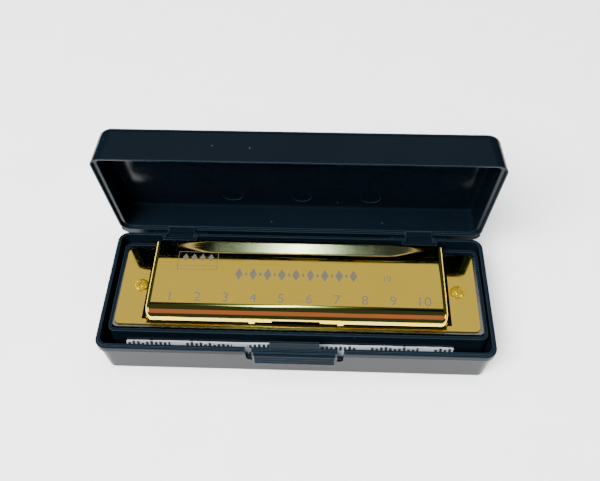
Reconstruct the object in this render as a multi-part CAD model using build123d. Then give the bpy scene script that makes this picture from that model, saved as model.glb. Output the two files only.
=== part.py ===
from build123d import *
import math
import os

# A hinged, snap-latched plastic case holding a ten-hole harmonica and its paper slip.
# Millimetres, +Z up, origin at the centre of the underside, latch towards -Y, hinge towards +Y.

# ------------------------------------------------------------------ harmonica: plates, comb, covers
hole_count = 10
hole_wall = 1.64            # wall between two playing holes
plate_length = 101.6
comb_end_margin = 12.6      # plate's end to the row of holes
plate_depth = 27.7
plate_thickness = 0.9
plate_corner = 1.2
comb_height = 6.2
cover_height = 5.1
cover_sheet = 0.5
cover_end_setback = 0.8     # plate's end to the cover's end
cover_setback = 0.5         # comb's front edge to the cover's front edge
cover_rear_setback = 1.25   # plate's rear edge to the cover's rear edge
cover_corner = 1.8
vault_screw_gap = 1.8       # screw's head to the vault's end
vault_foot = 0.15           # flat foot in front of the vault
vault_lean = 0.45           # how far the vault's front leans back over its height
vault_nose = 3.8            # radius of the rounded front edge
vault_end_round = 1.1
vault_tail_gap = 0.5        # flange's rear edge to the vault's rear edge

# ------------------------------------------------------------------ harmonica: reeds and fasteners
reed_width = 2.0
reed_thickness = 0.25
reed_pad_length = 3.2
reed_pad_width = 2.8
reed_longest = 15.5
reed_shortest = 9.5
reed_side_gap = 0.06
reed_front_margin = 2.2     # comb's front edge to the first end of a reed
chamber_end_gap = 1.2       # rear end of a reed to the end of its chamber
rivet_radius = 0.55
rivet_head_radius = 0.85
rivet_head = 0.25
nail_radius = 0.4
nail_head_radius = 0.9
nail_head = 0.3
nail_length = 3.2
nail_wall_gap = 0.85        # outer nail's head to the vault's inner face
nail_inset_y = 2.6          # plate's rear edge to the rear nails
nail_inner_x = 12.9
nail_front_inset = 5.0
screw_inset = 6.2           # plate's end to the screw's axis
screw_shift_y = -0.6
screw_radius = 0.95
screw_hole_radius = 1.1
screw_tip = 0.4             # screw's end beyond its nut
screw_head_radius = 1.95
screw_head_rim = 0.35
screw_head_height = 1.3
recess_arm = 2.2
recess_slot = 0.5
recess_depth = 0.7
nut_across_flats = 4.0
nut_height = 1.6
thread_clearance = 0.05
press_clearance = 0.02

# ------------------------------------------------------------------ case: cradle and walls
cradle_gap_x = 0.2
cradle_gap_y = 0.45
cradle_wall = 0.9
cradle_corner = 2.0
cradle_shift = 0.5          # cradle's centre to the right of the case's centre
cradle_below_plate = 0.3    # cradle's top edge below the upper plate's face
end_channel = 1.45
side_channel = 3.65
floor_thickness = 1.6
wall = 0.95
base_draft = 6.0
flange_proud = 0.3
flange_height = 1.8
case_corner = 3.2
bottom_round = 1.2
floor_round = 0.5
comb_reveal = 0.6           # comb's top face above the parting line
lip_width = 0.65
lip_height = 0.6
lip_clearance = 0.1

# ------------------------------------------------------------------ case: lid
lid_headroom = 2.0
lid_panel = 2.7
lid_wall = 1.3              # at the parting line
lid_side_clearance = 0.5
lid_draft = 4.9
lid_inner_draft = 4.25
lid_top_corner = 4.2
lid_top_round = 2.2
lid_inner_round = 1.0
lid_rebate_extra = 0.15     # rebate deeper than the base's lip
closed_gap = 0.08
lid_open_angle = 78.0
ejector_radius = 3.0
ejector_depth = 0.12
ejector_pitch = 20.8
ejector_shift = 0.4
ejector_from_rear = 7.5

# ------------------------------------------------------------------ case: hinge
hinge_offset = 0.25         # hinge axis behind the flange
hinge_clearance = 0.25
hinge_station = 36.0
knuckle_radius = 1.6
lid_knuckle_length = 8.0
base_knuckle_length = 4.0
knuckle_end_gap = 0.15
knuckle_swing_gap = 0.2
hinge_pin_radius = 0.7
hinge_pin_short = 0.15      # each end of the pin below the knuckle's face
pin_running_clearance = 0.05
pin_press_clearance = 0.01
arm_inset = 1.3             # front face of a lid arm, ahead of the hinge axis
rail_height = 1.4           # rail along the lid's rear edge
rail_proud = 0.55           # rail's face behind the knuckles

# ------------------------------------------------------------------ case: latch
latch_width = 23.3
latch_slot = 1.7
latch_opening_drop = 5.3    # parting line to the opening's lower edge
latch_opening_corner = 1.4
latch_bottom_gap = 0.2
tab_width = 13.4
tab_height = 3.0
tab_thickness = 0.9
tab_setback = 0.85          # flange's face to the tab's face
tab_nose = 0.2
tab_nose_height = 1.2
tab_lead = 0.3              # how far the tab's top edge leans back
tab_side_gap = 0.4
tab_top_gap = 0.3
pocket_setback = 0.45       # flange's face to the pocket's face at the parting line
pocket_lean = 0.3           # how far the pocket's face leans back at its top
pad_proud = 0.9
pad_top_drop = 0.4
pad_side_inset = 0.5
pad_round = 0.3
ridge_count = 3
ridge_radius = 0.28
latch_axis_rise = 0.9       # opening's lower edge to the latch's axis
latch_axis_inset = 0.8      # wall's outer face to the latch's axis
latch_barrel_radius = 0.85
stub_radius = 0.45
stub_length = 1.6           # stub axle's length inside its socket
stub_clearance = 0.05
socket_wall = 0.45
socket_end = 0.6

# ------------------------------------------------------------------ paper slip
slip_length = 92.4
slip_height = 9.2
slip_thickness = 0.15
slip_shift = -1.6
slip_gap = 0.1

# ------------------------------------------------------------------ levels and outlines
cut_margin = 2.0            # how far a cutting tool runs past what it cuts

lower_plate_z = floor_thickness + cover_height
comb_z = lower_plate_z + plate_thickness
comb_top = comb_z + comb_height
upper_cover_z = comb_top + plate_thickness
stack_middle = comb_z + comb_height / 2
cover_top = upper_cover_z + cover_height

rim_z = comb_top - comb_reveal
lid_z = rim_z + closed_gap
lid_inside_z = cover_top + lid_headroom
lid_top = lid_inside_z + lid_panel
flange_z = rim_z - flange_height
cradle_top = upper_cover_z - cradle_below_plate

rim_width = wall + flange_proud
cradle_length = plate_length + 2 * (cradle_gap_x + cradle_wall)
cradle_depth = plate_depth + 2 * (cradle_gap_y + cradle_wall)
case_length = cradle_length + 2 * (end_channel + rim_width)
case_depth = cradle_depth + 2 * (side_channel + rim_width)
front_y = -case_depth / 2

hinge_y = case_depth / 2 + hinge_offset
hinge_z = rim_z - knuckle_radius - hinge_clearance
hinge_axis = Axis((0, hinge_y, hinge_z), (1, 0, 0))


def wall_inset(z):
    """How far the base's outer wall stands inside the flange's outline at height z."""
    return flange_proud + (flange_z - z) * math.tan(math.radians(base_draft))


latch_bottom = rim_z - latch_opening_drop
latch_axis_z = latch_bottom + latch_axis_rise
latch_axis_y = front_y + wall_inset(latch_axis_z) + latch_axis_inset

plate_front = -plate_depth / 2
plate_end = plate_length / 2
hole_pitch = (plate_length - 2 * comb_end_margin) / hole_count
hole_width = hole_pitch - hole_wall
cover_length = plate_length - 2 * cover_end_setback
cover_depth = plate_depth - cover_setback - cover_rear_setback
vault_end = plate_end - screw_inset - screw_head_radius - vault_screw_gap


# ------------------------------------------------------------------ helpers
def block(x0, x1, y0, y1, z0, z1):
    """A box between three pairs of limits."""
    size = (x1 - x0, y1 - y0, z1 - z0)
    return Pos((x0 + x1) / 2, (y0 + y1) / 2, (z0 + z1) / 2) * Box(*size)


def rounded_block(length, depth, radius, z0, z1):
    """An upright block with rounded corners in plan."""
    return extrude(Pos(0, 0, z0) * RectangleRounded(length, depth, radius), z1 - z0)


def side_profile(points, x0, x1):
    """A prism along X whose section is the outline of the (y, z) points."""
    face = Plane.YZ.offset(x0) * make_face(Polyline(*points, close=True))
    return extrude(face, x1 - x0)


def rod_x(radius, x0, x1, y, z):
    """A round rod along X."""
    return Pos((x0 + x1) / 2, y, z) * Rot(0, 90, 0) * Cylinder(radius, x1 - x0)


def hole_x(index):
    """Middle of a playing hole, from the comb's middle."""
    return (index - (hole_count - 1) / 2) * hole_pitch


def reed_length(index):
    """Free length of a reed: the low notes on the left have the long ones."""
    step = (reed_longest - reed_shortest) / (hole_count - 1)
    return reed_longest - step * index


def at_cradle(shape):
    """Moves a harmonica piece to the cradle's middle."""
    return Pos(cradle_shift, 0, 0) * shape


def group_at_cradle(solids):
    """Moves a set of like fasteners to the cradle's middle as one group of separate solids."""
    return Compound([at_cradle(solid) for solid in solids])


# ------------------------------------------------------------------ base
def leaning_block(length, depth, radius, z0, z1):
    """A block whose walls lean in by the base's draft from its top at z1 down to z0."""
    top = Pos(0, 0, z1) * RectangleRounded(length, depth, radius)
    return extrude(top, z1 - z0, dir=(0, 0, -1), taper=base_draft)


def base_outside():
    """The base's outer form: a flange at the rim above walls that lean in to the underside."""
    length = case_length - 2 * flange_proud
    depth = case_depth - 2 * flange_proud
    body = leaning_block(length, depth, case_corner, 0, flange_z)
    body = fillet(body.edges().group_by(Axis.Z)[0], bottom_round)
    return body + rounded_block(case_length, case_depth, case_corner, flange_z, rim_z)


def base_hollow():
    """The space inside the base's walls, with a rounded edge along the floor."""
    hollow = leaning_block(case_length - 2 * rim_width, case_depth - 2 * rim_width, case_corner - wall,
                           floor_thickness, rim_z)
    return fillet(hollow.edges().group_by(Axis.Z)[0], floor_round)


def rim_lip():
    """The raised inner lip that enters the lid's rebate."""
    outer = case_length - 2 * (rim_width - lip_width)
    outer_depth = case_depth - 2 * (rim_width - lip_width)
    corner = case_corner - rim_width + lip_width
    lip = rounded_block(outer, outer_depth, corner, rim_z, rim_z + lip_height)
    inner = rounded_block(case_length - 2 * rim_width, case_depth - 2 * rim_width,
                          case_corner - wall, rim_z, rim_z + lip_height)
    return lip - inner


def cradle():
    """The upright wall on the floor that holds the harmonica."""
    outer = rounded_block(cradle_length, cradle_depth, cradle_corner, floor_thickness / 2, cradle_top)
    inner = rounded_block(cradle_length - 2 * cradle_wall, cradle_depth - 2 * cradle_wall,
                          cradle_corner - cradle_wall, floor_thickness / 2, cradle_top)
    return at_cradle(outer - inner)


def base_walls():
    """Floor, walls, flange and lip, before anything is cut for the hinge and the latch."""
    return base_outside() - base_hollow() + rim_lip()


def base_knuckle(x0, x1):
    """One of the base's hinge barrels with its root in the wall."""
    root_front = case_depth / 2 - rim_width + cut_margin / 4
    root = block(x0, x1, root_front, hinge_y, hinge_z - knuckle_radius, hinge_z + knuckle_radius)
    return rod_x(knuckle_radius, x0, x1, hinge_y, hinge_z) + root


def hinge_pocket(station):
    """The wall that closes the space behind a lid knuckle."""
    half = lid_knuckle_length / 2 + knuckle_end_gap + wall
    reach = knuckle_radius + knuckle_swing_gap
    return block(station - half, station + half, hinge_y - reach - wall, case_depth / 2 - flange_proud,
                 hinge_z - reach - wall, rim_z)


def hinge_notch(station):
    """The space in which a lid knuckle and its arm turn."""
    half = lid_knuckle_length / 2 + knuckle_end_gap
    reach = knuckle_radius + knuckle_swing_gap
    swing = rod_x(reach, station - half, station + half, hinge_y, hinge_z)
    path = block(station - half, station + half, hinge_y - reach, hinge_y + reach + cut_margin,
                 hinge_z, rim_z + lip_height + cut_margin)
    return swing + path


def latch_opening():
    """The opening in the front wall, rounded at its lower corners."""
    half = latch_width / 2 + latch_slot
    tool = block(-half, half, front_y - cut_margin, front_y + rim_width + wall_inset(latch_bottom),
                 latch_bottom, rim_z + lip_height + cut_margin)
    lower = tool.edges().filter_by(Axis.Y).group_by(Axis.Z)[0]
    return fillet(lower, latch_opening_corner)


def latch_socket(side):
    """A boss inside the front wall that takes a stub axle of the latch."""
    near = latch_width / 2 + latch_slot
    far = near + stub_length + socket_end
    reach = stub_radius + stub_clearance + socket_wall
    boss = block(near, far, latch_axis_y - stub_radius, latch_axis_y + reach,
                 latch_axis_z - reach, latch_axis_z + reach)
    return boss if side > 0 else mirror(boss, Plane.YZ)


def stub_bore(side):
    """The bore of a latch socket."""
    near = latch_width / 2
    bore = rod_x(stub_radius + stub_clearance, near, near + latch_slot + stub_length + stub_clearance,
                 latch_axis_y, latch_axis_z)
    return bore if side > 0 else mirror(bore, Plane.YZ)


def knuckle_spans(station):
    """The two stretches along X of the base's barrels at one hinge."""
    near = lid_knuckle_length / 2 + knuckle_end_gap
    far = near + base_knuckle_length
    return [(station - far, station - near), (station + near, station + far)]


def case_base():
    base = base_walls() + cradle()
    for station in (-hinge_station, hinge_station):
        base += hinge_pocket(station)
        for x0, x1 in knuckle_spans(station):
            base += base_knuckle(x0, x1)
        base -= hinge_notch(station)
        far = knuckle_spans(station)[1][1]
        base -= rod_x(hinge_pin_radius + pin_press_clearance, 2 * station - far, far, hinge_y, hinge_z)
    base -= latch_opening()
    for side in (-1, 1):
        base += latch_socket(side)
        base -= stub_bore(side)
    return base


# ------------------------------------------------------------------ lid, drawn closed and then opened
def lid_outside():
    """The lid's outer form: front and ends lean in from the parting line to a rounded top edge."""
    lean = (lid_top - lid_z) * math.tan(math.radians(lid_draft))
    lower = Pos(0, 0, lid_z) * RectangleRounded(case_length, case_depth, case_corner)
    top = RectangleRounded(case_length - 2 * lean, case_depth - lean, lid_top_corner)
    upper = Pos(0, lean / 2, lid_top) * top
    body = loft([lower, upper])
    return fillet(body.edges().group_by(Axis.Z)[-1], lid_top_round)


def lid_hollow():
    """The space under the lid's panel; only its front and ends lean in."""
    lean = (lid_inside_z - lid_z) * math.tan(math.radians(lid_inner_draft))
    length = cradle_length + 2 * (cradle_shift + lid_side_clearance)
    depth = case_depth - 2 * lid_wall
    corner = case_corner - lid_wall
    lower = Pos(0, 0, lid_z) * RectangleRounded(length, depth, corner)
    upper = Pos(0, lean / 2, lid_inside_z) * RectangleRounded(length - 2 * lean, depth - lean, corner)
    hollow = loft([lower, upper])
    return fillet(hollow.edges().group_by(Axis.Z)[-1], lid_inner_round)


def lid_rebate():
    """The step inside the lid's rim that takes the base's lip."""
    inset = rim_width - lip_width - lip_clearance
    depth = lip_height + lid_rebate_extra
    return rounded_block(case_length - 2 * inset, case_depth - 2 * inset, case_corner - inset,
                         lid_z, lid_z + depth)


def tab_pocket():
    """The pocket inside the lid's front wall that takes the latch's tab."""
    half = tab_width / 2 + tab_side_gap
    face = front_y + pocket_setback
    top = rim_z + tab_height + tab_top_gap
    back = front_y + lid_wall + tab_thickness
    points = [(face, lid_z), (face + pocket_lean, top), (back, top), (back, lid_z)]
    return side_profile(points, -half, half)


def hinge_rail():
    """The rail along the lid's rear edge that covers the gap when the lid is open."""
    face = hinge_y + knuckle_radius + rail_proud
    top = lid_z + rail_height
    outline = rounded_block(case_length, case_depth, case_corner, lid_z, top)
    rear = block(-case_length / 2, case_length / 2, case_depth / 2 - lid_wall / 2, face, lid_z, top)
    return Pos(0, face - case_depth / 2, 0) * outline & rear


def lid_arm(station):
    """A lid knuckle with the arm that carries it."""
    half = lid_knuckle_length / 2
    face = hinge_y + knuckle_radius
    top = lid_z + rail_height
    points = [(hinge_y - arm_inset, hinge_z), (hinge_y - arm_inset, lid_z + lip_height + lid_rebate_extra),
              (hinge_y - arm_inset / 2, top), (face, top), (face, hinge_z)]
    arm = side_profile(points, station - half, station + half)
    return arm + rod_x(knuckle_radius, station - half, station + half, hinge_y, hinge_z)


def ejector_marks():
    """Shallow round marks in a row on the lid's inner face."""
    y = case_depth / 2 - ejector_from_rear
    marks = []
    for step in (-1, 0, 1):
        x = ejector_shift + step * ejector_pitch
        marks.append(Pos(x, y, lid_inside_z + ejector_depth / 2) * Cylinder(ejector_radius, ejector_depth))
    return marks


def case_lid():
    lid = lid_outside() + hinge_rail() - lid_hollow() - lid_rebate() - tab_pocket()
    for mark in ejector_marks():
        lid -= mark
    for station in (-hinge_station, hinge_station):
        lid += lid_arm(station)
        half = lid_knuckle_length / 2
        lid -= rod_x(hinge_pin_radius + pin_running_clearance, station - half, station + half,
                     hinge_y, hinge_z)
    return lid.rotate(hinge_axis, -lid_open_angle)


def hinge_pin(station):
    half = lid_knuckle_length / 2 + knuckle_end_gap + base_knuckle_length - hinge_pin_short
    pin = rod_x(hinge_pin_radius, station - half, station + half, hinge_y, hinge_z)
    return chamfer(pin.edges().filter_by(GeomType.CIRCLE), hinge_pin_short)


# ------------------------------------------------------------------ latch
def latch_tab():
    """The tab that stands up behind the lid's front wall, with a rounded nose."""
    face = front_y + tab_setback
    top = rim_z + tab_height
    root = rim_z - flange_height
    points = [(face, root), (face, rim_z + tab_nose), (face - tab_nose, rim_z + tab_nose_height),
              (face + tab_lead, top), (face + tab_thickness, top), (face + tab_thickness, root)]
    return side_profile(points, -tab_width / 2, tab_width / 2)


def latch_pad():
    """The thumb pad on the front of the latch, with its grip ridges."""
    half = latch_width / 2 - pad_side_inset
    low = latch_bottom + latch_bottom_gap
    high = rim_z - pad_top_drop
    face = front_y - pad_proud
    pad = block(-half, half, face, front_y + rim_width, low, high)
    front = pad.faces().sort_by(Axis.Y)[0]
    pad = fillet(front.edges(), pad_round)
    step = (high - low) / (ridge_count + 1)
    for index in range(ridge_count):
        z = low + step * (index + 1)
        pad += rod_x(ridge_radius, -half + pad_round, half - pad_round, face, z)
    return pad


def latch_clip():
    """The latch: a stretch of the front wall with pad, tab, barrel and two stub axles."""
    half = latch_width / 2
    low = latch_bottom + latch_bottom_gap
    leaf = base_walls() & block(-half, half, front_y - cut_margin, front_y + rim_width + side_channel / 2,
                                low, rim_z + lip_height)
    barrel = rod_x(latch_barrel_radius, -half, half, latch_axis_y, latch_axis_z)
    barrel &= block(-half, half, front_y, 0, low, rim_z)
    reach = half + latch_slot + stub_length
    stubs = rod_x(stub_radius, -reach, reach, latch_axis_y, latch_axis_z)
    return leaf + latch_pad() + latch_tab() + barrel + stubs


# ------------------------------------------------------------------ slip
def paper_slip():
    """A folded slip that leans from the floor's front edge against the cradle."""
    lean = (rim_z - floor_thickness) * math.tan(math.radians(base_draft))
    foot_y = front_y + rim_width + lean + floor_round + slip_gap
    head_y = -cradle_depth / 2 - slip_gap - slip_thickness
    angle = math.degrees(math.asin((head_y - foot_y) / slip_height))
    slip = block(-slip_length / 2, slip_length / 2, 0, slip_thickness, 0, slip_height)
    slip = slip.rotate(Axis.X, -angle)
    drop = slip.bounding_box().min.Z
    return Pos(slip_shift, foot_y, floor_thickness - drop) * slip


# ------------------------------------------------------------------ harmonica
def nail_spots():
    """Where the nails go through a reed plate."""
    outer = vault_end - cover_sheet - nail_head_radius - nail_wall_gap
    rear = plate_depth / 2 - nail_inset_y
    front = plate_front + nail_front_inset
    return [(-outer, front), (outer, front), (-outer, rear), (outer, rear),
            (-nail_inner_x, rear), (nail_inner_x, rear)]


def screw_spots():
    """Where the two cover screws stand."""
    return [(side * (plate_end - screw_inset), screw_shift_y) for side in (-1, 1)]


def drilled(shape, spots, radius, z0, z1):
    """Drills a hole at each spot between two heights."""
    for x, y in spots:
        shape -= Pos(x, y, (z0 + z1) / 2) * Cylinder(radius, z1 - z0)
    return shape


def rivet_y(index, at_front):
    """Place of a reed's rivet along the reed."""
    if at_front:
        return plate_front + reed_front_margin + reed_pad_length / 2
    return plate_front + reed_front_margin + reed_length(index) + reed_pad_length / 2


def slot_start(index, at_front):
    """Front end of a reed's slot."""
    return plate_front + reed_front_margin + (reed_pad_length if at_front else 0)


def reed_plate(z0, at_front):
    """A plate with a slot under each reed and holes for rivets, nails and screws."""
    z1 = z0 + plate_thickness
    plate = rounded_block(plate_length, plate_depth, plate_corner, z0, z1)
    for index in range(hole_count):
        start = slot_start(index, at_front)
        half = reed_width / 2 + reed_side_gap
        plate -= block(hole_x(index) - half, hole_x(index) + half, start, start + reed_length(index), z0, z1)
    rivets = [(hole_x(index), rivet_y(index, at_front)) for index in range(hole_count)]
    plate = drilled(plate, rivets, rivet_radius + press_clearance, z0, z1)
    plate = drilled(plate, nail_spots(), nail_radius + press_clearance, z0, z1)
    return drilled(plate, screw_spots(), screw_hole_radius, z0, z1)


def reed(index, z0, at_front):
    """A brass tongue riveted down at its wide end, free over its slot."""
    z1 = z0 + reed_thickness
    start = slot_start(index, at_front)
    length = reed_length(index) - reed_side_gap
    pad_y = rivet_y(index, at_front) - reed_pad_length / 2
    tongue_y = start if at_front else start + reed_side_gap
    x = hole_x(index)
    tongue = block(x - reed_width / 2, x + reed_width / 2, tongue_y, tongue_y + length, z0, z1)
    pad = block(x - reed_pad_width / 2, x + reed_pad_width / 2, pad_y, pad_y + reed_pad_length, z0, z1)
    return drilled(tongue + pad, [(x, rivet_y(index, at_front))], rivet_radius + press_clearance, z0, z1)


def reed_rivets(z0, z1, at_front):
    """Rivets through plate and reed, with a head at each end."""
    rivets = []
    for index in range(hole_count):
        place = Pos(hole_x(index), rivet_y(index, at_front), 0)
        shank = Pos(0, 0, (z0 + z1) / 2) * Cylinder(rivet_radius, z1 - z0)
        low = Pos(0, 0, z0 - rivet_head / 2) * Cylinder(rivet_head_radius, rivet_head)
        high = Pos(0, 0, z1 + rivet_head / 2) * Cylinder(rivet_head_radius, rivet_head)
        rivets.append(place * (shank + low + high))
    return rivets


def plate_nails(face_z, direction):
    """Nails that hold a plate to the comb, driven from its outer face."""
    nails = []
    for x, y in nail_spots():
        shank = Pos(x, y, face_z - direction * nail_length / 2) * Cylinder(nail_radius, nail_length)
        head = Pos(x, y, face_z + direction * nail_head / 2) * Cylinder(nail_head_radius, nail_head)
        nails.append(shank + head)
    return nails


def comb():
    """The comb: ten chambers open at the front, shorter towards the high notes."""
    body = rounded_block(plate_length, plate_depth, plate_corner, comb_z, comb_top)
    for index in range(hole_count):
        rear = plate_front + reed_front_margin + reed_pad_length + reed_length(index) + chamber_end_gap
        left = hole_x(index) - hole_width / 2
        body -= block(left, left + hole_width, plate_front - cut_margin, rear, comb_z, comb_top)
    depth = nail_length - plate_thickness + press_clearance
    body = drilled(body, nail_spots(), nail_radius + press_clearance, comb_top - depth, comb_top)
    body = drilled(body, nail_spots(), nail_radius + press_clearance, comb_z, comb_z + depth)
    return drilled(body, screw_spots(), screw_hole_radius, comb_z, comb_top)


def vault_section(inset):
    """The (y, z) section of the vault's outside, or of its inside when inset by the sheet."""
    foot = plate_front + cover_setback + vault_foot
    rear = plate_front + cover_setback + cover_depth - vault_tail_gap
    top = cover_height - inset
    front_low = (foot + inset, 0)
    front_high = (foot + inset + vault_lean, top)
    if inset:
        rear += cut_margin
    outline = FilletPolyline(front_low, front_high, (rear, top), radius=vault_nose - inset)
    return make_face(Curve() + [outline, Polyline((rear, top), (rear, 0), front_low)])


def vault_block(inset):
    """The vault as a solid with rounded ends."""
    half = vault_end - inset
    solid = extrude(Plane.YZ.offset(-half) * vault_section(inset), 2 * half)
    ends = []
    for face in (solid.faces().sort_by(Axis.X)[0], solid.faces().sort_by(Axis.X)[-1]):
        for edge in face.edges():
            on_floor = edge.center().Z < cover_sheet / 2
            upright_rear = edge.bounding_box().size.Y < cover_sheet / 2 and edge.center().Y > 0
            if not on_floor and not upright_rear:
                ends.append(edge)
    return fillet(ends, vault_end_round - inset)


def cover():
    """A pressed cover: flat ends, a foot along the front and a vault that is open at the rear."""
    middle = plate_front + cover_setback + cover_depth / 2
    flat = Pos(0, middle, 0) * extrude(RectangleRounded(cover_length, cover_depth, cover_corner), cover_sheet)
    half = vault_end - cover_sheet
    foot = plate_front + cover_setback + vault_foot
    flat -= block(-half, half, foot + cover_sheet, foot + cover_depth + cut_margin, 0, cover_sheet)
    shell = flat + vault_block(0) - vault_block(cover_sheet)
    return drilled(shell, screw_spots(), screw_hole_radius, 0, cover_sheet)


def screw_head():
    """A domed head with a cross recess, standing on z = 0."""
    rim = Pos(0, 0, screw_head_rim / 2) * Cylinder(screw_head_radius, screw_head_rim)
    rise = screw_head_height - screw_head_rim
    ball = (screw_head_radius * screw_head_radius + rise * rise) / (2 * rise)
    cap = Pos(0, 0, screw_head_height - ball) * Sphere(ball)
    cap &= Pos(0, 0, screw_head_rim + rise / 2) * Cylinder(screw_head_radius, rise)
    bottom = screw_head_height - recess_depth
    high = screw_head_height
    arm = block(-recess_arm / 2, recess_arm / 2, -recess_slot / 2, recess_slot / 2, bottom, high)
    return rim + cap - arm - Rot(0, 0, 90) * arm


def cover_screws():
    """Two screws from the upper cover down through the stack."""
    seat = upper_cover_z + cover_sheet
    tip = lower_plate_z - cover_sheet - nut_height - screw_tip
    screws = []
    for x, y in screw_spots():
        shank = Pos(x, y, (seat + tip) / 2) * Cylinder(screw_radius, seat - tip)
        screws.append(Pos(x, y, seat) * screw_head() + shank)
    return screws


def cover_nuts():
    """Hexagon nuts under the lower cover's ends."""
    top = lower_plate_z - cover_sheet
    nuts = []
    for x, y in screw_spots():
        outline = RegularPolygon(nut_across_flats / 2, 6, major_radius=False)
        nut = extrude(Pos(x, y, top - nut_height) * outline, nut_height)
        nut -= Pos(x, y, top - nut_height / 2) * Cylinder(screw_radius + thread_clearance, nut_height)
        nuts.append(nut)
    return nuts


def harmonica():
    """All harmonica pieces by name, in the cradle."""
    top_cover = Pos(0, 0, upper_cover_z) * cover()
    pieces = {
        "harmonica_comb": comb(),
        "upper_reed_plate": reed_plate(comb_top, False),
        "lower_reed_plate": reed_plate(lower_plate_z, True),
        "upper_cover": top_cover,
        "lower_cover": mirror(top_cover, Plane.XY.offset(stack_middle)),
    }
    for index in range(hole_count):
        pieces[f"blow_reed_{index + 1:02d}"] = reed(index, comb_top - reed_thickness, False)
        pieces[f"draw_reed_{index + 1:02d}"] = reed(index, lower_plate_z - reed_thickness, True)
    return {name: at_cradle(shape) for name, shape in pieces.items()}


def harmonica_fasteners():
    """The groups of screws, nuts, rivets and nails by name, in the cradle."""
    groups = {
        "cover_screws": cover_screws(),
        "cover_nuts": cover_nuts(),
        "blow_reed_rivets": reed_rivets(comb_top - reed_thickness, upper_cover_z, False),
        "draw_reed_rivets": reed_rivets(lower_plate_z - reed_thickness, comb_z, True),
        "upper_plate_nails": plate_nails(upper_cover_z, 1),
        "lower_plate_nails": plate_nails(lower_plate_z, -1),
    }
    return {name: group_at_cradle(solids) for name, solids in groups.items()}


# ------------------------------------------------------------------ all pieces
parts = {
    "case_base": case_base(),
    "case_lid": case_lid(),
    "hinge_pin_left": hinge_pin(-hinge_station),
    "hinge_pin_right": hinge_pin(hinge_station),
    "latch_clip": latch_clip(),
    "paper_slip": paper_slip(),
    **harmonica(),
    **harmonica_fasteners(),
}

os.makedirs("parts", exist_ok=True)
for name, shape in parts.items():
    export_step(shape, f"parts/{name}.step")
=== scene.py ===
import math

import bpy
from mathutils import Matrix, Vector


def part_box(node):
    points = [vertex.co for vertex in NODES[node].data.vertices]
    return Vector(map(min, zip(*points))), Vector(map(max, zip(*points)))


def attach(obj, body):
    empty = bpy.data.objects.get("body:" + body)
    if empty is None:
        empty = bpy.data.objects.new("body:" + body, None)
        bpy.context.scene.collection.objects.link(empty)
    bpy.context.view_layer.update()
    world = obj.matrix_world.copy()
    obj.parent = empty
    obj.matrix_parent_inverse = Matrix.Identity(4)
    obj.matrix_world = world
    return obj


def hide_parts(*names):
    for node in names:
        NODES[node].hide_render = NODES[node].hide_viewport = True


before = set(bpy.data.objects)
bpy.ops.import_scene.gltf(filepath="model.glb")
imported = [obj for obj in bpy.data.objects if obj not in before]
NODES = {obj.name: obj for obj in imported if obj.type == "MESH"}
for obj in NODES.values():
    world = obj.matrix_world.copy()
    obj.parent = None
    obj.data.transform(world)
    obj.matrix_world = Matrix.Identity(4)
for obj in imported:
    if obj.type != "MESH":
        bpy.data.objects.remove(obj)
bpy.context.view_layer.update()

# A snap-latched plastic case that holds a ten-hole harmonica and a paper slip.
# New pieces are modelled in millimetres in the case's own frame, and finish_piece() brings them to metres.

MM = 0.001


# ------------------------------------------------------------------ modelling helpers
def box_mm(node):
    """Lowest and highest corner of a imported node, in millimetres."""
    low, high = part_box(node)
    return low / MM, high / MM


def deselect():
    if bpy.context.object and bpy.context.object.mode != "OBJECT":
        bpy.ops.object.mode_set(mode="OBJECT")
    bpy.ops.object.select_all(action="DESELECT")


def focus(obj):
    deselect()
    obj.select_set(True)
    bpy.context.view_layer.objects.active = obj


def block(name, low, high):
    """A box between two corners, ready to be shaped."""
    low, high = Vector(low), Vector(high)
    deselect()
    bpy.ops.mesh.primitive_cube_add(size=1, location=(low + high) / 2)
    obj = bpy.context.object
    obj.name = name
    obj.scale = high - low
    bpy.ops.object.transform_apply(location=True, rotation=True, scale=True)
    return obj


def disc(name, radius, depth, place, vertices):
    """A short upright cylinder standing on its place."""
    deselect()
    middle = Vector(place) + Vector((0, 0, depth / 2))
    bpy.ops.mesh.primitive_cylinder_add(vertices=vertices, radius=radius, depth=depth, location=middle)
    obj = bpy.context.object
    obj.name = name
    bpy.ops.object.transform_apply(location=True, rotation=True, scale=True)
    return obj


def pick(obj, kind, test):
    """Selects the corners, edges or faces that pass the test, and leaves the piece in edit mode."""
    focus(obj)
    bpy.ops.object.mode_set(mode="EDIT")
    bpy.ops.mesh.select_mode(type=kind)
    bpy.ops.mesh.select_all(action="DESELECT")
    bpy.ops.object.mode_set(mode="OBJECT")
    mesh = obj.data
    items = {"VERT": mesh.vertices, "EDGE": mesh.edges, "FACE": mesh.polygons}[kind]
    for item in items:
        if kind == "VERT":
            item.select = test(item.co)
        else:
            item.select = test([mesh.vertices[i].co for i in item.vertices])
    bpy.ops.object.mode_set(mode="EDIT")


def round_edges(obj, test, width, steps):
    """Rounds the edges that pass the test."""
    pick(obj, "EDGE", test)
    bpy.ops.mesh.bevel(offset=width, offset_type="OFFSET", segments=steps, profile=0.5, affect="EDGES",
                       clamp_overlap=True)
    bpy.ops.object.mode_set(mode="OBJECT")


def drop_faces(obj, test):
    """Opens a piece by removing the faces that pass the test."""
    pick(obj, "FACE", test)
    bpy.ops.mesh.delete(type="FACE")
    bpy.ops.object.mode_set(mode="OBJECT")


def cut_lines(obj, axis, places, low_test):
    """Divides the faces that pass the test along planes across one axis."""
    normal = [0, 0, 0]
    normal[axis] = 1
    for place in places:
        point = [0, 0, 0]
        point[axis] = place
        pick(obj, "FACE", low_test)
        bpy.ops.mesh.bisect(plane_co=point, plane_no=normal, use_fill=False)
    bpy.ops.object.mode_set(mode="OBJECT")


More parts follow.
